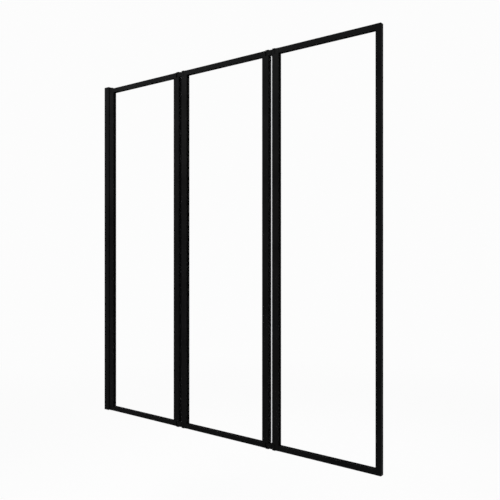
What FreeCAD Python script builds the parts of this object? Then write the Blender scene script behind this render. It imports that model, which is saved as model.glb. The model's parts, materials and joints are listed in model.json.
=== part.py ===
import FreeCAD, Part
import Sketcher
import math
import os
import re

# Folding bath screen: three framed glass leaves in a row on a channel that is screwed to the wall.
# X runs from the wall to the free end, -Y is the room side and Z is up, in millimetres.
# The origin is on the wall plane, in the middle of the frame's depth, at the foot of the channel.

os.makedirs("parts", exist_ok=True)
doc = FreeCAD.newDocument("BathScreen")
sheet = doc.addObject("Spreadsheet::Sheet", "Sizes")

SIZES = [
    # Whole screen
    ("screen_width", "1300"),
    ("leaf_height", "1388"),
    ("leaf_base", "2"),
    ("fold_gap", "15"),
    ("wall_gap", "5"),
    # Leaf frame sections
    ("frame_depth", "17.5"),
    ("rail_face", "18"),
    ("free_face", "18"),
    ("hinge_face", "27.5"),
    ("wall_face", "23"),
    ("frame_wall", "1.5"),
    ("frame_web", "2"),
    ("edge_round", "0.8"),
    ("edge_bevel", "0.4"),
    ("groove_depth", "8"),
    ("groove_width", "7"),
    ("port_half", "4.5"),
    ("rail_port_half", "3.75"),
    ("overrun", "1"),
    # Glass and its gasket
    ("glass_thick", "4"),
    ("glass_bite", "7"),
    ("gasket_back", "0.8"),
    ("gasket_lip", "0.8"),
    # Pivots
    ("notch_reach", "14"),
    ("pin_radius", "2.5"),
    ("pin_slack", "0.05"),
    ("pin_hold", "20"),
    ("pin_lead", "0.6"),
    ("notch_height", "19"),
    ("eye_clear", "0.5"),
    ("link_step", "1.5"),
    ("link_slack", "0.6"),
    ("block_set_back", "0.25"),
    ("block_clear", "0.55"),
    ("block_round", "1"),
    ("head_reach", "13.5"),
    ("head_thick", "2"),
    ("head_sink", "0.3"),
    ("head_round", "1.2"),
    ("washer_thick", "0.5"),
    ("washer_radius", "6"),
    ("wall_washer_radius", "5"),
    # Frame screws, end plugs and screw covers
    ("screw_radius", "2"),
    ("screw_slack", "0.2"),
    ("screw_head", "3.6"),
    ("screw_head_rise", "1.6"),
    ("screw_hold", "14"),
    ("plug_thick", "2"),
    ("plug_slack", "0.15"),
    ("cover_radius", "4"),
    # Seals
    ("fin_thick", "1"),
    ("fin_tip", "0.6"),
    ("fin_root", "2"),
    ("fold_fin_apart", "1.2"),
    ("wall_fin_clear", "0.8"),
    ("fin_clear", "1"),
    ("drip_thick", "2"),
    ("drip_tip", "1"),
    ("drip_root", "2"),
    ("drip_lip", "0.8"),
    # Wall channel, insert and brackets
    ("channel_reach", "28"),
    ("channel_web", "2"),
    ("channel_flange", "1.5"),
    ("insert_slack", "0.2"),
    ("insert_wall", "1.6"),
    ("insert_start", "7"),
    ("insert_set_back", "0.5"),
    ("bracket_base", "0.4"),
    ("bracket_start", "3"),
    ("wall_eye_clear", "1.3"),
    ("ear_rise", "6"),
    ("bore_roof", "3"),
    ("tongue_length", "25"),
    ("tongue_slack", "0.1"),
    ("bracket_screw_length", "12"),
    ("cap_plate", "1.5"),
    ("cap_plug", "2.3"),
    ("cap_clear", "0.2"),
    ("fixing_radius", "2.5"),
    ("fixing_inset", "99.25"),
    ("adjust_inset", "135.6"),
    ("adjust_head", "4"),
    ("adjust_head_thick", "2"),
    ("adjust_length", "6"),
    ("adjust_cover", "5.5"),
    ("adjust_cover_thick", "3.2"),
    ("adjust_cover_round", "1"),
]

DERIVED = [
    ("leaf_top", "=leaf_base+leaf_height"),
    ("leaf_start", "=channel_reach+wall_gap"),
    ("opening", "=(screen_width-leaf_start-wall_face-4*hinge_face-2*fold_gap-free_face)/3"),
    ("opening_height", "=leaf_height-2*rail_face"),
    ("inner_left", "=leaf_start+wall_face"),
    ("inner_right", "=inner_left+opening"),
    ("middle_left", "=inner_right+2*hinge_face+fold_gap"),
    ("middle_right", "=middle_left+opening"),
    ("outer_left", "=middle_right+2*hinge_face+fold_gap"),
    ("outer_right", "=outer_left+opening"),
    ("inner_fold", "=inner_right+hinge_face+fold_gap/2"),
    ("outer_fold", "=middle_right+hinge_face+fold_gap/2"),
    ("hollow_depth", "=frame_depth-2*frame_wall"),
    ("web_end", "=groove_depth+frame_web"),
    ("rail_port_rise", "=(rail_face-groove_depth)/2"),
    ("screw_length", "=web_end+screw_hold"),
    ("block_half", "=frame_depth/2-block_set_back"),
    ("link_round", "=block_half-link_step"),
    ("pivot_inset", "=notch_reach-eye_clear-link_round"),
    ("pin_spacing", "=fold_gap+2*pivot_inset"),
    ("wall_notch_reach", "=wall_face-web_end"),
    ("eye_round", "=wall_notch_reach-wall_eye_clear-pivot_inset"),
    ("link_height", "=notch_height-link_slack-washer_thick-2*pin_slack"),
    ("block_reach", "=pin_spacing/2-frame_depth/2-block_clear"),
    ("fold_fin_reach", "=(fold_gap-fold_fin_apart)/2"),
    ("wall_fin_reach", "=wall_gap-wall_fin_clear"),
    ("fin_height", "=leaf_height-2*notch_height-2*fin_clear"),
    ("pivot_wall", "=leaf_start+pivot_inset"),
    ("bracket_height", "=leaf_base+notch_height-link_slack-bracket_base"),
    ("channel_depth", "=frame_depth+2*channel_flange"),
    ("insert_depth", "=frame_depth-2*insert_slack"),
    ("insert_end", "=channel_reach-insert_set_back"),
    ("insert_base", "=bracket_base+bracket_height"),
    ("insert_top", "=leaf_top-notch_height+link_slack"),
    ("tongue_depth", "=insert_depth-2*insert_wall-2*tongue_slack"),
    ("tongue_reach", "=insert_end-insert_start-2*insert_wall-2*tongue_slack"),
    ("ear_top", "=leaf_top+ear_rise"),
    ("channel_height", "=ear_top+cap_clear+cap_plug"),
    ("fixing_span", "=channel_height-2*fixing_inset"),
    ("adjust_reach", "=(insert_start+insert_end)/2"),
    ("adjust_low", "=insert_base+adjust_inset"),
    ("adjust_span", "=insert_top-insert_base-2*adjust_inset"),
]

for row, (alias, value) in enumerate(SIZES + DERIVED, start=1):
    sheet.set("A%d" % row, alias)
    sheet.set("B%d" % row, value)
    sheet.setAlias("B%d" % row, alias)
doc.recompute()

AXIS = {"x": FreeCAD.Vector(1, 0, 0), "y": FreeCAD.Vector(0, 1, 0), "z": FreeCAD.Vector(0, 0, 1)}
AIM = {
    "z": FreeCAD.Rotation(),
    "x": FreeCAD.Rotation(AXIS["y"], 90),
    "-x": FreeCAD.Rotation(AXIS["y"], -90),
    "y": FreeCAD.Rotation(AXIS["x"], -90),
    "-y": FreeCAD.Rotation(AXIS["x"], 90),
}
TURN = {
    "none": FreeCAD.Rotation(),
    "round": FreeCAD.Rotation(AXIS["z"], 180),
    "over": FreeCAD.Rotation(AXIS["x"], 180),
    "down": FreeCAD.Rotation(AXIS["y"], 180),
}
NODES = []
SAME = 1e-6


def bound(text):
    """The same sum with each name read from the sheet."""
    return re.sub(r"[a-z][a-z_]+", lambda name: "Sizes." + name.group(0), text)


def size(text):
    """The present value of a sum of named sizes."""
    return float(sheet.evalExpression(bound(text)))


def tie(thing, prop, text):
    thing.setExpression(prop, bound(text))


def seat(thing, x="0", y="0", z="0", turn=None):
    """Places a thing by named sizes, after any turn."""
    if turn is not None:
        thing.Placement = FreeCAD.Placement(FreeCAD.Vector(), turn)
    tie(thing, "Placement.Base.x", x)
    tie(thing, "Placement.Base.y", y)
    tie(thing, "Placement.Base.z", z)
    return thing


def node(label, thing):
    """One finished piece, with the name of its file."""
    thing.Label = label
    NODES.append((label, thing))


# Sketched profiles


def new_body():
    return doc.addObject("PartDesign::Body", "Body")


def new_sketch(body, plane):
    sketch = body.newObject("Sketcher::SketchObject", "Sketch")
    support = [part for part in body.Origin.OriginFeatures if part.Role == plane][0]
    sketch.AttachmentSupport = (support, "")
    sketch.MapMode = "FlatFace"
    return sketch


def fix_point(sketch, piece, end, x, y):
    """Dimensions a point from the sketch's origin. A None leaves that direction to the other constraints."""
    for kind, text in (("DistanceX", x), ("DistanceY", y)):
        if text is not None:
            number = sketch.addConstraint(Sketcher.Constraint(kind, -1, 1, piece, end, size(text)))
            tie(sketch, "Constraints[%d]" % number, text)


def add_outline(sketch, corners):
    """A closed outline through dimensioned corners, drawn anticlockwise.

    A corner that also gives a centre starts an arc about it, and any other corner starts a straight edge.
    """
    first = sketch.GeometryCount
    count = len(corners)
    points = [FreeCAD.Vector(size(corner[0]), size(corner[1]), 0) for corner in corners]
    for step, corner in enumerate(corners):
        near, far = points[step], points[(step + 1) % count]
        if len(corner) == 2:
            sketch.addGeometry(Part.LineSegment(near, far), False)
            continue
        centre = FreeCAD.Vector(size(corner[2]), size(corner[3]), 0)
        angles = [math.atan2((end - centre).y, (end - centre).x) for end in (near, far)]
        circle = Part.Circle(centre, AXIS["z"], (near - centre).Length)
        sketch.addGeometry(Part.ArcOfCircle(circle, angles[0], angles[1]), False)
    for step in range(count):
        follower = first + (step + 1) % count
        sketch.addConstraint(Sketcher.Constraint("Coincident", first + step, 2, follower, 1))
    for step, corner in enumerate(corners):
        x, y = corner[:2]
        if len(corner) == 4:
            fix_point(sketch, first + step, 3, corner[2], corner[3])
        before = corners[step - 1]
        if len(before) == 4:
            away = points[step] - FreeCAD.Vector(size(before[2]), size(before[3]), 0)
            x, y = (x, None) if abs(away.y) > abs(away.x) else (None, y)
        fix_point(sketch, first + step, 1, x, y)


def add_rectangle(sketch, low_x, low_y, high_x, high_y):
    add_outline(sketch, [(low_x, low_y), (high_x, low_y), (high_x, high_y), (low_x, high_y)])


def add_circle(sketch, x, y, radius):
    circle = Part.Circle(FreeCAD.Vector(size(x), size(y), 0), AXIS["z"], size(radius))
    piece = sketch.addGeometry(circle, False)
    fix_point(sketch, piece, 3, x, y)
    number = sketch.addConstraint(Sketcher.Constraint("Radius", piece, size(radius)))
    tie(sketch, "Constraints[%d]" % number, radius)


def pad(body, sketch, length, midplane=False):
    feature = body.newObject("PartDesign::Pad", "Pad")
    feature.Profile = sketch
    feature.Midplane = midplane
    tie(feature, "Length", length)
    return feature


def extruded(plane, outlines, length, holes=(), midplane=False):
    """A body drawn as one section, with any round holes in it, and run out to a length."""
    body = new_body()
    sketch = new_sketch(body, plane)
    for corners in outlines:
        add_outline(sketch, corners)
    for x, y, radius in holes:
        add_circle(sketch, x, y, radius)
    pad(body, sketch, length, midplane)
    return body


def cut_block(body, length, width, height, x, y, z):
    tool = body.newObject("PartDesign::SubtractiveBox", "BlockCut")
    tie(tool, "Length", length)
    tie(tool, "Width", width)
    tie(tool, "Height", height)
    return seat(tool, x, y, z)


def cut_hole(body, radius, length, x="0", y="0", z="0", along="z"):
    tool = body.newObject("PartDesign::SubtractiveCylinder", "Hole")
    tie(tool, "Radius", radius)
    tie(tool, "Height", length)
    return seat(tool, x, y, z, AIM[along])


def cut_sink(body, x, y, z, along):
    """The seat of a countersunk head, from its rim inwards."""
    tool = body.newObject("PartDesign::SubtractiveCone", "Sink")
    tie(tool, "Radius1", "screw_head")
    tie(tool, "Radius2", "screw_radius")
    tie(tool, "Height", "screw_head_rise")
    return seat(tool, x, y, z, AIM[along])


def add_block(body, length, width, height, x, y, z):
    tool = body.newObject("PartDesign::AdditiveBox", "Block")
    tie(tool, "Length", length)
    tie(tool, "Width", width)
    tie(tool, "Height", height)
    return seat(tool, x, y, z)


def add_rod(body, radius, length, x, y, z):
    tool = body.newObject("PartDesign::AdditiveCylinder", "Rod")
    tie(tool, "Radius", radius)
    tie(tool, "Height", length)
    return seat(tool, x, y, z)


def repeat_up(body, original, span, count):
    """Copies of a cut, evenly spaced up the body."""
    pattern = body.newObject("PartDesign::LinearPattern", "Pattern")
    pattern.Originals = [original]
    up = [part for part in body.Origin.OriginFeatures if part.Role == "Z_Axis"][0]
    pattern.Direction = (up, [""])
    tie(pattern, "Length", span)
    pattern.Occurrences = count
    body.Tip = pattern


def soften(body, kind, prop, text, wanted):
    """Rounds or bevels the edges of a body that a test picks."""
    doc.recompute()
    names = []
    for number, edge in enumerate(body.Shape.Edges, start=1):
        if wanted(edge):
            names.append("Edge%d" % number)
    base = body.Tip
    feature = body.newObject(kind, "Soften")
    feature.Base = (base, names)
    tie(feature, prop, text)


def runs_along(edge, axis):
    ends = edge.Vertexes
    if edge.Curve.TypeId != "Part::GeomLine" or len(ends) < 2:
        return False
    way = ends[1].Point - ends[0].Point
    return way.Length - abs(way.dot(axis)) < SAME


def is_level(edge, height):
    box = edge.BoundBox
    return abs(box.ZMin - height) < SAME and abs(box.ZMax - height) < SAME


def bevel_rims(body, *heights):
    """Takes the sharp edge off the outline of a flat end, and leaves whole circles such as bores alone."""
    levels = [size(height) for height in heights]
    wanted = lambda edge: len(edge.Vertexes) == 2 and any(is_level(edge, level) for level in levels)
    soften(body, "PartDesign::Chamfer", "Size", "edge_bevel", wanted)


def round_long_edges(body, axis, half_depth):
    """Takes the sharp outer corners off an extruded bar."""
    limit = size(half_depth)
    wanted = lambda edge: runs_along(edge, axis) and abs(abs(edge.CenterOfMass.y) - limit) < SAME
    soften(body, "PartDesign::Fillet", "Radius", "edge_round", wanted)


# Plain solids for fasteners and strips


def rod(radius, height, x="0", y="0", z="0", along="z"):
    thing = doc.addObject("Part::Cylinder", "Rod")
    tie(thing, "Radius", radius)
    tie(thing, "Height", height)
    return seat(thing, x, y, z, AIM[along])


def block(length, width, height, x, y, z):
    thing = doc.addObject("Part::Box", "Block")
    tie(thing, "Length", length)
    tie(thing, "Width", width)
    tie(thing, "Height", height)
    return seat(thing, x, y, z)


def together(pieces):
    """Separate solids that share one name."""
    thing = doc.addObject("Part::Compound", "Group")
    thing.Links = pieces
    return thing


def sunk_screw(length, x, y, z, along):
    """A countersunk screw, its head's rim at the given point."""
    thing = doc.addObject("Part::Fuse", "Screw")
    head = doc.addObject("Part::Cone", "Head")
    tie(head, "Radius1", "screw_head")
    tie(head, "Radius2", "screw_radius")
    tie(head, "Height", "screw_head_rise")
    thing.Base = rod("screw_radius", length)
    thing.Tool = head
    return seat(thing, x, y, z, AIM[along])


# Leaf pieces, drawn with x = 0 at the glass side of a stile and x growing towards its outer face

FACE = {"hinge": "hinge_face", "wall": "wall_face", "free": "free_face"}
NOTCH = {"hinge": "notch_reach", "wall": "wall_notch_reach"}
SCREW_RISES = ("rail_port_rise", "leaf_height-rail_port_rise")


def stile_outline(face, slotted):
    """The outer edge of a stile: the glass groove on one side and, if slotted, the fin slot on the other."""
    half = "frame_depth/2"
    groove = "groove_width/2"
    corners = [("0", "-" + half), (face, "-" + half)]
    if slotted:
        floor = face + "-fin_root"
        slot = "fin_thick/2"
        corners += [(face, "-" + slot), (floor, "-" + slot), (floor, slot), (face, slot)]
    corners += [(face, half), ("0", half)]
    corners += [("0", groove), ("groove_depth", groove), ("groove_depth", "-" + groove), ("0", "-" + groove)]
    return corners


def stile_hollow(face, kind):
    """The hollow of a stile: a plain box, or a box that goes round the block that holds the pivot pin."""
    deep = "hollow_depth/2"
    end = face + "-frame_wall"
    if kind == "free":
        return [[("web_end", "-" + deep), (end, "-" + deep), (end, deep), ("web_end", deep)]]
    if kind == "wall":
        low = [("web_end", "-" + deep), (end, "-" + deep), (end, "-port_half"), ("web_end", "-port_half")]
        high = [("web_end", "port_half"), (end, "port_half"), (end, deep), ("web_end", deep)]
        return [low, high]
    port = face + "-pivot_inset-port_half"
    corners = [("web_end", "-" + deep), (end, "-" + deep), (end, "-port_half"), (port, "-port_half")]
    corners += [(port, "port_half"), (end, "port_half"), (end, deep), ("web_end", deep)]
    return [corners]


def stile(kind):
    """An upright bar with its glass groove, hollow, pivot port, hinge notches and screw seats."""
    face = FACE[kind]
    port = [] if kind == "free" else [(face + "-pivot_inset", "0", "pin_radius")]
    outlines = [stile_outline(face, kind != "free")] + stile_hollow(face, kind)
    body = extruded("XY_Plane", outlines, "leaf_height", port)
    round_long_edges(body, AXIS["z"], "frame_depth/2")
    if kind in NOTCH:
        x = face + "-" + NOTCH[kind]
        y = "-frame_depth/2-overrun"
        for z in ("-overrun", "leaf_height-notch_height"):
            deep = "frame_depth+2*overrun"
            cut_block(body, NOTCH[kind] + "+overrun", deep, "notch_height+overrun", x, y, z)
    for rise in SCREW_RISES:
        through = "frame_web+2*overrun"
        cut_hole(body, "screw_radius+screw_slack", through, "groove_depth-overrun", "0", rise, "x")
        cut_sink(body, "web_end", "0", rise, "-x")
        if kind == "free":
            cut_hole(body, "cover_radius", "frame_wall+overrun", face + "-frame_wall", "0", rise, "x")
    return body


def rail(has_drip):
    """A level bar, drawn with its outer edge at z = 0 and its glass groove in the far edge."""
    half = "frame_depth/2"
    groove = "groove_width/2"
    floor = "rail_face-groove_depth"
    corners = [("-" + half, "0")]
    if has_drip:
        drip = "drip_thick/2"
        corners += [("-" + drip, "0"), ("-" + drip, "drip_root"), (drip, "drip_root"), (drip, "0")]
    corners += [(half, "0"), (half, "rail_face"), (groove, "rail_face"), (groove, floor)]
    corners += [("-" + groove, floor), ("-" + groove, "rail_face"), ("-" + half, "rail_face")]
    low, high = "frame_wall", floor + "-frame_wall"
    near, far = "rail_port_half", "hollow_depth/2"
    front = [("-" + far, low), ("-" + near, low), ("-" + near, high), ("-" + far, high)]
    back = [(near, low), (far, low), (far, high), (near, high)]
    port = [("0", "rail_port_rise", "screw_radius")]
    body = extruded("YZ_Plane", [corners, front, back], "opening", port)
    round_long_edges(body, AXIS["x"], half)
    return body


def fin(reach, face):
    """A clear strip pressed into a stile's slot, with a blade that thins towards its edge."""
    root = face + "-fin_root"
    tip = face + "+" + reach
    corners = [(root, "-fin_thick/2"), (face, "-fin_thick/2"), (tip, "-fin_tip/2")]
    corners += [(tip, "fin_tip/2"), (face, "fin_thick/2"), (root, "fin_thick/2")]
    return extruded("XY_Plane", [corners], "fin_height")


def fold_pin(top):
    """A headed pin: a flat head over the notch, and a shank through the link into the stile's port."""
    body = new_body()
    sketch = new_sketch(body, "XY_Plane")
    add_rectangle(sketch, "pivot_inset-head_reach", "-frame_depth/2", "pivot_inset", "frame_depth/2")
    pad(body, sketch, "head_thick")
    soften(body, "PartDesign::Fillet", "Radius", "head_round", lambda edge: runs_along(edge, AXIS["z"]))
    bevel_rims(body, "0")
    length = "notch_height+pin_hold-head_sink"
    add_rod(body, "pin_radius", length, "0", "0", "head_thick")
    tip = size("head_thick+" + length)
    soften(body, "PartDesign::Chamfer", "Size", "pin_lead", lambda edge: is_level(edge, tip))
    if top:
        return seat(body, "hinge_face-pivot_inset", "0", "leaf_height+head_thick-head_sink", TURN["over"])
    return seat(body, "hinge_face-pivot_inset", "0", "head_sink-head_thick")


def wall_pin(top):
    """A plain pin from a stile's port into the eye of a wall bracket."""
    length = "pin_hold+notch_height-bore_roof-pin_slack"
    low = "leaf_height-notch_height-pin_hold" if top else "bore_roof+pin_slack"
    return rod("pin_radius", length, "wall_face-pivot_inset", "0", low)


def washers(radius, face):
    """Thrust washers on the floors of the two notches of a stile."""
    out = []
    for low in ("notch_height-washer_thick", "leaf_height-notch_height"):
        body = new_body()
        sketch = new_sketch(body, "XY_Plane")
        add_circle(sketch, "0", "0", radius)
        add_circle(sketch, "0", "0", "pin_radius")
        pad(body, sketch, "washer_thick")
        out.append(seat(body, face + "-pivot_inset", "0", low))
    return out


def end_plugs(kind):
    """Flush plugs in the open ends of one stile."""
    ends = {"hinge": "hinge_face-notch_reach", "free": "free_face-frame_wall"}
    out = []
    for low in ("0", "leaf_height-plug_thick"):
        wide = "groove_width-2*plug_slack"
        out.append(block("groove_depth-plug_slack", wide, "plug_thick", "0", "-(%s)/2" % wide, low))
        if kind in ends:
            wide = "hollow_depth-2*plug_slack"
            long = ends[kind] + "-web_end-plug_slack"
            out.append(block(long, wide, "plug_thick", "web_end", "-(%s)/2" % wide, low))
    return out


def gasket():
    """A channel of rubber round the edge of the glass, drawn from the corner of the clear opening."""
    edge = "glass_bite+gasket_back"
    low = "-(%s)" % edge
    body = new_body()
    sketch = new_sketch(body, "XZ_Plane")
    add_rectangle(sketch, low, low, "opening+" + edge, "opening_height+" + edge)
    add_rectangle(sketch, "gasket_lip", "gasket_lip", "opening-gasket_lip", "opening_height-gasket_lip")
    pad(body, sketch, "groove_width", True)
    wide = "opening+2*glass_bite"
    high = "opening_height+2*glass_bite"
    cut_block(body, wide, "glass_thick", high, "-glass_bite", "-glass_thick/2", "-glass_bite")
    return body


def glass():
    """One pane, drawn from the corner of the clear opening."""
    low = "-glass_bite"
    right = "opening+glass_bite"
    top = "opening_height+glass_bite"
    corners = [(low, low), (right, low), (right, top), (low, top)]
    return extruded("XZ_Plane", [corners], "glass_thick", (), True)


def drip_seal():
    """A rubber lip under a bottom rail, thinner at its edge."""
    root = "drip_thick/2"
    tip = "drip_tip/2"
    corners = [("-" + root, "drip_root"), ("-" + root, "0"), ("-" + tip, "-drip_lip")]
    corners += [(tip, "-drip_lip"), (root, "0"), (root, "drip_root")]
    return extruded("YZ_Plane", [corners[::-1]], "opening")


def fold_link():
    """A link with a round eye at each end and, between them, a block that fills the fold's gap."""
    eye = "pin_spacing/2"
    ring = "link_round"
    wide = "block_half"
    reach = "block_reach"
    right = [("-" + reach, "-" + ring), ("-" + reach, "-" + wide), (reach, "-" + wide), (reach, "-" + ring)]
    right.append((eye, "-" + ring, eye, "0"))
    left = [(eye, ring), (reach, ring), (reach, wide), ("-" + reach, wide), ("-" + reach, ring)]
    left.append(("-" + eye, ring, "-" + eye, "0"))
    start = [("-" + eye, "-" + ring)]
    bores = [(side + eye, "0", "pin_radius+pin_slack") for side in ("", "-")]
    body = extruded("XY_Plane", [start + right + left], "link_height", bores)
    limit = size("block_half")
    on_block = lambda edge: runs_along(edge, AXIS["z"]) and abs(abs(edge.CenterOfMass.y) - limit) < SAME
    soften(body, "PartDesign::Fillet", "Radius", "block_round", on_block)
    bevel_rims(body, "0", "link_height")
    return body


# Wall side


def wall_channel():
    """A deep channel with its web on the wall and its open side towards the leaves."""
    outer = "channel_depth/2"
    inner = "frame_depth/2"
    corners = [("0", "-" + outer), ("channel_reach", "-" + outer), ("channel_reach", "-" + inner)]
    corners += [("channel_web", "-" + inner), ("channel_web", inner), ("channel_reach", inner)]
    corners += [("channel_reach", outer), ("0", outer)]
    body = extruded("XY_Plane", [corners], "channel_height")
    round_long_edges(body, AXIS["z"], outer)
    through = "channel_web+2*overrun"
    hole = cut_hole(body, "fixing_radius", through, "-overrun", "0", "fixing_inset", "x")
    repeat_up(body, hole, "fixing_span", FIXINGS)
    through = "channel_flange+2*overrun"
    start = "frame_depth/2-overrun"
    hole = cut_hole(body, "screw_radius+screw_slack", through, "adjust_reach", start, "adjust_low", "y")
    repeat_up(body, hole, "adjust_span", ADJUSTERS)
    return body


def wall_insert():
    """A hollow bar that slides in the channel and carries the wall brackets."""
    outer = "insert_depth/2"
    inner = "insert_depth/2-insert_wall"
    near, far = "insert_start+insert_wall", "insert_end-insert_wall"
    shell = [("insert_start", "-" + outer), ("insert_end", "-" + outer)]
    shell += [("insert_end", outer), ("insert_start", outer)]
    room = [(near, "-(%s)" % inner), (far, "-(%s)" % inner), (far, inner), (near, inner)]
    body = extruded("XY_Plane", [shell, room], "insert_top-insert_base")
    through = "insert_wall+2*overrun"
    hole = cut_hole(body, "screw_radius", through, "adjust_reach", inner + "-overrun", "adjust_inset", "y")
    repeat_up(body, hole, "adjust_span", ADJUSTERS)
    for rise in ("tongue_length/2", "insert_top-insert_base-tongue_length/2"):
        cut_hole(body, "screw_radius", through, far + "-overrun", "0", rise, "x")
        cut_sink(body, "insert_end", "0", rise, "-x")
    return seat(body, "0", "0", "insert_base")


def wall_bracket(top):
    """A pivot bracket: a block in the channel, a tongue in the insert and an arm with an eye."""
    deep = "insert_depth/2"
    eye = "eye_round"
    corners = [("bracket_start", "-" + deep), ("insert_end", "-" + deep), ("insert_end", "-" + eye)]
    corners += [("pivot_wall", "-" + eye, "pivot_wall", "0"), ("pivot_wall", eye), ("insert_end", eye)]
    corners += [("insert_end", deep), ("bracket_start", deep)]
    height = "ear_top-insert_top" if top else "bracket_height"
    body = extruded("XY_Plane", [corners], height)
    if top:
        bevel_rims(body, height)
    tongue = "-tongue_length" if top else height
    start = "insert_start+insert_wall+tongue_slack"
    add_block(body, "tongue_reach", "tongue_depth", "tongue_length", start, "-tongue_depth/2", tongue)
    bore = "-overrun" if top else "bore_roof"
    cut_hole(body, "pin_radius+pin_slack", height + "-bore_roof+overrun", "pivot_wall", "0", bore)
    rise = tongue + "+tongue_length/2"
    cut_hole(body, "screw_radius", "bracket_screw_length", "insert_end", "0", rise, "-x")
    return seat(body, "0", "0", "insert_top" if top else "bracket_base")


def adjusting_screw(rise):
    """A pan-headed screw through the channel's flange into the insert."""
    thing = doc.addObject("Part::Fuse", "Screw")
    thing.Base = rod("screw_radius", "adjust_length", along="-y")
    thing.Tool = rod("adjust_head", "adjust_head_thick", along="y")
    return seat(thing, "adjust_reach", "channel_depth/2", rise)


def adjusting_cover(rise):
    """A round cap with a soft rim over the head of an adjusting screw."""
    body = new_body()
    sketch = new_sketch(body, "XY_Plane")
    add_circle(sketch, "0", "0", "adjust_cover")
    pad(body, sketch, "adjust_cover_thick")
    rim = size("adjust_cover_thick")
    soften(body, "PartDesign::Fillet", "Radius", "adjust_cover_round", lambda edge: is_level(edge, rim))
    cut_hole(body, "adjust_head", "adjust_head_thick+overrun", z="-overrun")
    return seat(body, "adjust_reach", "channel_depth/2", rise, AIM["y"])


def channel_cap():
    """A plate on the channel's top, with a plug that goes into it."""
    body = new_body()
    sketch = new_sketch(body, "XY_Plane")
    add_rectangle(sketch, "0", "-channel_depth/2", "channel_reach", "channel_depth/2")
    pad(body, sketch, "cap_plate")
    soften(body, "PartDesign::Fillet", "Radius", "edge_round", lambda edge: runs_along(edge, AXIS["z"]))
    bevel_rims(body, "cap_plate")
    reach = "channel_reach-channel_web-insert_set_back"
    add_block(body, reach, "insert_depth", "cap_plug", "channel_web", "-insert_depth/2", "-cap_plug")
    return seat(body, "0", "0", "channel_height")


FIXINGS = 4
ADJUSTERS = 3

node("wall_channel", wall_channel())
node("wall_insert", wall_insert())
node("wall_bracket_top", wall_bracket(True))
node("wall_bracket_bottom", wall_bracket(False))
BRACKET_SCREWS = ("insert_base+tongue_length/2", "insert_top-tongue_length/2")
screws = [sunk_screw("bracket_screw_length", "insert_end", "0", rise, "-x") for rise in BRACKET_SCREWS]
node("wall_bracket_screws", together(screws))
RISES = ["adjust_low+adjust_span*%d/%d" % (step, ADJUSTERS - 1) for step in range(ADJUSTERS)]
node("wall_adjusting_screws", together([adjusting_screw(rise) for rise in RISES]))
node("wall_adjusting_covers", together([adjusting_cover(rise) for rise in RISES]))
node("wall_channel_cap", channel_cap())

# Leaves

LEAVES = (
    ("inner_leaf", "inner_left", "inner_right", "wall", "hinge"),
    ("middle_leaf", "middle_left", "middle_right", "hinge", "hinge"),
    ("outer_leaf", "outer_left", "outer_right", "hinge", "free"),
)

for name, left, right, left_kind, right_kind in LEAVES:
    screws = []
    plugs = []
    for side, x, kind, turn in (("left", left, left_kind, "round"), ("right", right, right_kind, "none")):
        face = FACE[kind]
        place = (x, "0", "leaf_base", TURN[turn])
        node("%s_%s_stile" % (name, side), seat(stile(kind), *place))
        pair = [sunk_screw("screw_length", "web_end", "0", rise, "-x") for rise in SCREW_RISES]
        screws.append(seat(together(pair), *place))
        plugs.append(seat(together(end_plugs(kind)), *place))
        if kind == "free":
            deep = face + "-frame_wall"
            covers = [rod("cover_radius", "frame_wall", deep, "0", rise, "x") for rise in SCREW_RISES]
            node("%s_screw_covers" % name, seat(together(covers), *place))
            continue
        wall = kind == "wall"
        stem = "%s_wall" % name if wall else "%s_%s" % (name, side)
        pins = [wall_pin(top) if wall else fold_pin(top) for top in (False, True)]
        node(stem + ("_pins" if wall else "_pivot_pins"), seat(together(pins), *place))
        rings = washers("wall_washer_radius" if wall else "washer_radius", face)
        node(stem + "_washers", seat(together(rings), *place))
        strip = fin("wall_fin_reach" if wall else "fold_fin_reach", face)
        node(stem + "_fin_seal", seat(strip, x, "0", "leaf_base+notch_height+fin_clear", TURN[turn]))
    node("%s_frame_screws" % name, together(screws))
    node("%s_end_plugs" % name, together(plugs))
    node("%s_bottom_rail" % name, seat(rail(True), left, "0", "leaf_base"))
    node("%s_top_rail" % name, seat(rail(False), right, "0", "leaf_top", TURN["down"]))
    node("%s_glass" % name, seat(glass(), left, "0", "leaf_base+rail_face"))
    node("%s_gasket" % name, seat(gasket(), left, "0", "leaf_base+rail_face"))
    node("%s_drip_seal" % name, seat(drip_seal(), left, "0", "leaf_base"))

for name in ("inner_fold", "outer_fold"):
    node("%s_bottom_link" % name, seat(fold_link(), name, "0", "leaf_base+link_slack"))
    node("%s_top_link" % name, seat(fold_link(), name, "0", "leaf_top-link_slack-link_height"))

doc.recompute()

for thing in doc.Objects:
    if "Invalid" in thing.State or "Error" in thing.State:
        raise RuntimeError("%s is %s" % (thing.Name, thing.State))
for label, thing in NODES:
    if thing.Shape.isNull() or not thing.Shape.isValid():
        raise RuntimeError("%s has no valid shape" % label)
    thing.Shape.exportStep("parts/%s.step" % label)
    box = thing.Shape.BoundBox
    print(label, len(thing.Shape.Solids), round(thing.Shape.Volume, 1), box)
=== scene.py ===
import json
import math

import bpy
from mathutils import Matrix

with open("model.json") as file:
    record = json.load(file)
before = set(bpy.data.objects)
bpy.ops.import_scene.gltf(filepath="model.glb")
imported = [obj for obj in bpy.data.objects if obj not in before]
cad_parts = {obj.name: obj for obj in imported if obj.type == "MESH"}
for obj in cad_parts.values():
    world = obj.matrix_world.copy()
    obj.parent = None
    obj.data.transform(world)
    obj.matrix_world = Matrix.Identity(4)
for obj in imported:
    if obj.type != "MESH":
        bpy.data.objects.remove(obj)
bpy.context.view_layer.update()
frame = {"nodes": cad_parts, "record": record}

# Folding bath screen: satin black frames with clear panes, seen from the room, to the right of its middle.
# Lengths are in metres, and the lens is in millimetres.

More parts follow.
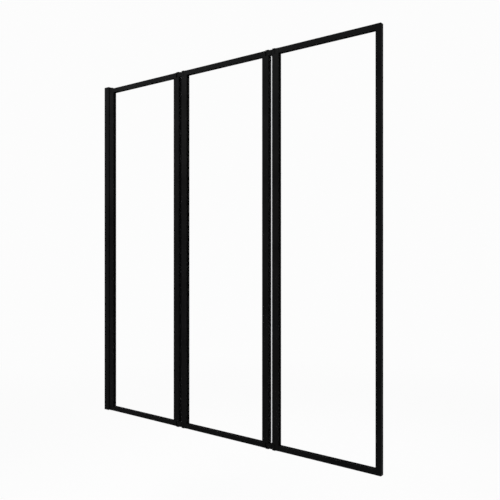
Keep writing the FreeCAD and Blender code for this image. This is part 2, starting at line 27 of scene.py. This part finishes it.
EYE = (2.1022, -1.7177, 0.696)
EYE_TURN = math.radians(37.37)
LENS = 43.48
LENS_SHIFT = -0.0011

FLOOR_MIDDLE = 0.65
FLOOR_DROP = 0.56
FLOOR_HALF = 12.0
FLOOR_TONE = (0.8, 0.8, 0.8, 1.0)
PAPER_WHITE = 0.975
FLOOR_WHITE = 1.0
SHADOW_SHARE = 0.08
SHADOW_NEAR = 1.5
SHADOW_FAR = 5.0
ROOM_LIGHT = 0.3
WHITE = (1.0, 1.0, 1.0, 1.0)

# Most of a noise pattern's values lie between these two.
GRAIN_LOW = 0.3
GRAIN_HIGH = 0.7


# Finishes


class Finish:
    """A material in the making: its shader, and patterns on the piece's own coordinates."""

    def __init__(self, name):
        self.material = bpy.data.materials.new(name)
        self.material.use_nodes = True
        self.tree = self.material.node_tree
        self.shader = self.tree.nodes["Principled BSDF"]
        self.place = self.tree.nodes.new("ShaderNodeTexCoord").outputs["Object"]

    def set_constant(self, socket, value):
        """Sets what is the same all over the surface."""
        self.shader.inputs[socket].default_value = value

    def grain(self, scale, detail, stretch=(1.0, 1.0, 1.0)):
        """Noise of a given fineness, drawn out along the axes where the stretch is small."""
        mapping = self.tree.nodes.new("ShaderNodeMapping")
        mapping.inputs["Scale"].default_value = stretch
        self.tree.links.new(self.place, mapping.inputs["Vector"])
        noise = self.tree.nodes.new("ShaderNodeTexNoise")
        noise.inputs["Scale"].default_value = scale
        noise.inputs["Detail"].default_value = detail
        self.tree.links.new(mapping.outputs["Vector"], noise.inputs["Vector"])
        return noise.outputs["Fac"]

    def mingle(self, coarse, fine):
        """The mean of a slow drift and a fine grain."""
        mean = self.tree.nodes.new("ShaderNodeMix")
        self.tree.links.new(coarse, mean.inputs["A"])
        self.tree.links.new(fine, mean.inputs["B"])
        return mean.outputs["Result"]

    def tint(self, grain, dark, light):
        """Lets the colour drift between two close shades."""
        ramp = self.tree.nodes.new("ShaderNodeValToRGB")
        low, high = ramp.color_ramp.elements
        low.position = GRAIN_LOW
        low.color = dark + (1.0,)
        high.position = GRAIN_HIGH
        high.color = light + (1.0,)
        self.tree.links.new(grain, ramp.inputs["Fac"])
        self.tree.links.new(ramp.outputs["Color"], self.shader.inputs["Base Color"])

    def vary_gloss(self, grain, smooth, rough):
        """Lets the roughness drift between two values."""
        spread = self.tree.nodes.new("ShaderNodeMapRange")
        spread.inputs["From Min"].default_value = GRAIN_LOW
        spread.inputs["From Max"].default_value = GRAIN_HIGH
        spread.inputs["To Min"].default_value = smooth
        spread.inputs["To Max"].default_value = rough
        self.tree.links.new(grain, spread.inputs["Value"])
        self.tree.links.new(spread.outputs["Result"], self.shader.inputs["Roughness"])

    def emboss(self, grain, strength, height):
        """Raises the grain from the surface."""
        bump = self.tree.nodes.new("ShaderNodeBump")
        bump.inputs["Strength"].default_value = strength
        bump.inputs["Distance"].default_value = height
        self.tree.links.new(grain, bump.inputs["Height"])
        self.tree.links.new(bump.outputs["Normal"], self.shader.inputs["Normal"])


def powder_coat():
    """Satin black powder coat: a fine even grain with a faint speckle, and a slow drift in gloss."""
    coat = Finish("satin_black_powder_coat")
    coat.set_constant("Specular IOR Level", 0.012)
    drift = coat.grain(scale=9.0, detail=3.0)
    grain = coat.grain(scale=1400.0, detail=3.0)
    speckle = coat.mingle(drift, grain)
    coat.tint(speckle, dark=(0.0030, 0.0030, 0.0031), light=(0.0090, 0.0090, 0.0093))
    coat.vary_gloss(drift, smooth=0.40, rough=0.52)
    coat.emboss(grain, strength=0.35, height=0.0001)
    return coat.material


def casting_lacquer():
    """Black lacquer on cast zinc: smoother than the powder coat, with a soft orange peel."""
    lacquer = Finish("black_lacquer_on_casting")
    lacquer.set_constant("Specular IOR Level", 0.015)
    drift = lacquer.grain(scale=60.0, detail=2.0)
    peel = lacquer.grain(scale=700.0, detail=1.0)
    shade = lacquer.mingle(drift, peel)
    lacquer.tint(shade, dark=(0.0036, 0.0036, 0.0037), light=(0.0080, 0.0080, 0.0082))
    lacquer.vary_gloss(drift, smooth=0.34, rough=0.46)
    lacquer.emboss(peel, strength=0.3, height=0.0001)
    return lacquer.material


def clear_pane():
    """Clear toughened glass with the very slight waviness that the toughening rollers leave."""
    pane = Finish("clear_toughened_glass")
    pane.set_constant("Base Color", WHITE)
    pane.set_constant("Roughness", 0.0)
    pane.set_constant("IOR", 1.15)
    pane.set_constant("Transmission Weight", 1.0)
    wave = pane.grain(scale=6.0, detail=1.0, stretch=(0.25, 1.0, 1.0))
    pane.emboss(wave, strength=0.05, height=0.0005)
    return pane.material


def clear_vinyl():
    """Clear flexible vinyl with fine draw lines along its length."""
    vinyl = Finish("clear_vinyl")
    vinyl.set_constant("IOR", 1.1)
    vinyl.set_constant("Transmission Weight", 1.0)
    haze = vinyl.grain(scale=40.0, detail=2.0, stretch=(1.0, 1.0, 0.1))
    vinyl.tint(haze, dark=(0.94, 0.95, 0.96), light=(0.98, 0.99, 1.0))
    vinyl.vary_gloss(haze, smooth=0.0, rough=0.05)
    lines = vinyl.grain(scale=1500.0, detail=1.0, stretch=(1.0, 1.0, 0.01))
    vinyl.emboss(lines, strength=0.05, height=0.00003)
    return vinyl.material


def gasket_rubber():
    """Matt black rubber with a dusty bloom."""
    rubber = Finish("matt_black_rubber")
    rubber.set_constant("Specular IOR Level", 0.01)
    bloom = rubber.grain(scale=120.0, detail=4.0)
    rubber.tint(bloom, dark=(0.0030, 0.0030, 0.0030), light=(0.0052, 0.0052, 0.0052))
    rubber.vary_gloss(bloom, smooth=0.68, rough=0.82)
    skin = rubber.grain(scale=1800.0, detail=2.0)
    rubber.emboss(skin, strength=0.2, height=0.00006)
    return rubber.material


def moulded_plastic():
    """Black plastic with the spark-eroded grain of its mould."""
    plastic = Finish("black_moulded_plastic")
    plastic.set_constant("Specular IOR Level", 0.02)
    drift = plastic.grain(scale=30.0, detail=2.0)
    plastic.tint(drift, dark=(0.0030, 0.0030, 0.0031), light=(0.0046, 0.0046, 0.0047))
    plastic.vary_gloss(drift, smooth=0.52, rough=0.64)
    spark = plastic.grain(scale=3000.0, detail=3.0)
    plastic.emboss(spark, strength=0.25, height=0.00006)
    return plastic.material


def turning_lines(metal):
    """Fine level lines, which run round an upright pin."""
    return metal.grain(scale=1600.0, detail=2.0, stretch=(0.15, 0.15, 1.0))


def blackened_steel():
    """Blackened steel: turning lines under a thin, slightly uneven black oxide."""
    steel = Finish("blackened_steel")
    steel.set_constant("Specular IOR Level", 0.015)
    patches = steel.grain(scale=220.0, detail=3.0)
    steel.tint(patches, dark=(0.0048, 0.0048, 0.0050), light=(0.0070, 0.0069, 0.0069))
    steel.vary_gloss(patches, smooth=0.36, rough=0.50)
    steel.emboss(turning_lines(steel), strength=0.12, height=0.00004)
    return steel.material


def turned_steel():
    """Plain stainless steel with turning lines."""
    steel = Finish("plain_stainless_steel")
    steel.set_constant("Metallic", 1.0)
    lines = turning_lines(steel)
    steel.tint(lines, dark=(0.52, 0.52, 0.53), light=(0.64, 0.64, 0.65))
    steel.vary_gloss(lines, smooth=0.26, rough=0.40)
    steel.emboss(lines, strength=0.1, height=0.00003)
    return steel.material


finishes = {
    "black_frame": powder_coat(),
    "black_casting": casting_lacquer(),
    "clear_glass": clear_pane(),
    "clear_seal": clear_vinyl(),
    "black_rubber": gasket_rubber(),
    "black_plastic": moulded_plastic(),
    "black_steel": blackened_steel(),
    "steel": turned_steel(),
}
for subpart in frame["record"]["subparts"]:
    piece = frame["nodes"][subpart["node"]]
    for slot in piece.material_slots:
        slot.material = finishes[subpart["material_slot"]]


# Studio


def combine(tree, operation, one, other):
    """The result of one operation on two values."""
    join = tree.nodes.new("ShaderNodeMath")
    join.operation = operation
    tree.links.new(one, join.inputs[0])
    tree.links.new(other, join.inputs[1])
    return join.outputs["Value"]


def is_seen(tree):
    """1 for what the eye sees, also in a reflection or through glass, and 0 for what only gives light."""
    ray = tree.nodes.new("ShaderNodeLightPath").outputs
    mirrored = combine(tree, "MAXIMUM", ray["Is Camera Ray"], ray["Is Glossy Ray"])
    return combine(tree, "MAXIMUM", mirrored, ray["Is Transmission Ray"])


def mix_surface(tree, share, lit, seen, output):
    """Gives the output the seen shader in the given share, and the lit one in the rest."""
    mix = tree.nodes.new("ShaderNodeMixShader")
    tree.links.new(share, mix.inputs["Fac"])
    tree.links.new(lit, mix.inputs[1])
    tree.links.new(seen, mix.inputs[2])
    tree.links.new(mix.outputs["Shader"], tree.nodes[output].inputs["Surface"])


def set_backdrop():
    """A white backdrop all round, and plain light from it."""
    world = bpy.data.worlds.new("white_studio")
    world.use_nodes = True
    bpy.context.scene.world = world
    tree = world.node_tree
    light = tree.nodes["Background"]
    light.inputs["Color"].default_value = WHITE
    light.inputs["Strength"].default_value = ROOM_LIGHT
    paper = tree.nodes.new("ShaderNodeBackground")
    paper.inputs["Color"].default_value = WHITE
    paper.inputs["Strength"].default_value = PAPER_WHITE
    mix_surface(tree, is_seen(tree), light.outputs["Background"], paper.outputs["Background"], "World Output")


def fade_out(tree, reach, near, far):
    """A value that changes with the distance from the screen."""
    fade = tree.nodes.new("ShaderNodeMapRange")
    fade.interpolation_type = "SMOOTHSTEP"
    fade.inputs["From Min"].default_value = SHADOW_NEAR
    fade.inputs["From Max"].default_value = SHADOW_FAR
    fade.inputs["To Min"].default_value = near
    fade.inputs["To Max"].default_value = far
    tree.links.new(reach, fade.inputs["Value"])
    return fade.outputs["Result"]


def floor_paint():
    """Matt pale paint, white to the eye but for a faint shadow.

    Away from the screen the shadow fades out, so that the floor runs into the backdrop without an edge.
    """
    paint = Finish("pale_floor")
    paint.set_constant("Base Color", FLOOR_TONE)
    paint.set_constant("Roughness", 1.0)
    paint.set_constant("Specular IOR Level", 0.0)
    tree = paint.tree
    distance = tree.nodes.new("ShaderNodeVectorMath")
    distance.operation = "LENGTH"
    tree.links.new(paint.place, distance.inputs[0])
    reach = distance.outputs["Value"]
    white = tree.nodes.new("ShaderNodeEmission")
    tree.links.new(fade_out(tree, reach, near=FLOOR_WHITE, far=PAPER_WHITE), white.inputs["Strength"])
    plain = fade_out(tree, reach, near=1.0 - SHADOW_SHARE, far=1.0)
    share = combine(tree, "MULTIPLY", is_seen(tree), plain)
    mix_surface(tree, share, paint.shader.outputs["BSDF"], white.outputs["Emission"], "Material Output")
    return paint.material


def lay_floor():
    """A pale floor at the foot of the bath that the screen stands on."""
    bpy.ops.object.select_all(action="DESELECT")
    bpy.ops.mesh.primitive_plane_add(size=2.0 * FLOOR_HALF, location=(FLOOR_MIDDLE, 0.0, -FLOOR_DROP))
    floor = bpy.context.object
    floor.name = "pale_floor"
    floor.data.materials.append(floor_paint())


def hang_light(name, place, aim, side, power):
    """A square soft lamp that faces a point."""
    lamp = bpy.data.lights.new(name, "AREA")
    lamp.shape = "SQUARE"
    lamp.size = side
    lamp.energy = power
    holder = bpy.data.objects.new(name, lamp)
    bpy.context.scene.collection.objects.link(holder)
    away_x, away_y, away_z = [end - start for start, end in zip(place, aim)]
    tilt = math.atan2(away_z, math.hypot(away_x, away_y))
    turn = math.atan2(away_y, away_x)
    holder.location = place
    holder.rotation_euler = (math.pi / 2 + tilt, 0.0, turn - math.pi / 2)
    holder.visible_camera = False
    holder.visible_glossy = False
    holder.visible_transmission = False


def set_eye():
    """The photograph's level view from the right."""
    camera = bpy.data.cameras.new("eye")
    camera.lens = LENS
    camera.shift_y = LENS_SHIFT
    holder = bpy.data.objects.new("eye", camera)
    bpy.context.scene.collection.objects.link(holder)
    holder.location = EYE
    holder.rotation_euler = (math.pi / 2, 0.0, EYE_TURN)
    bpy.context.scene.camera = holder


set_backdrop()
lay_floor()
hang_light("room_lamp", place=(0.3, -1.2, 2.1), aim=(0.35, 0.0, 1.0), side=0.8, power=38.0)
hang_light("bath_lamp", place=(0.4, 2.2, 2.0), aim=(0.6, 0.0, 0.7), side=1.4, power=60.0)
set_eye()
bpy.context.scene.view_settings.view_transform = "Standard"
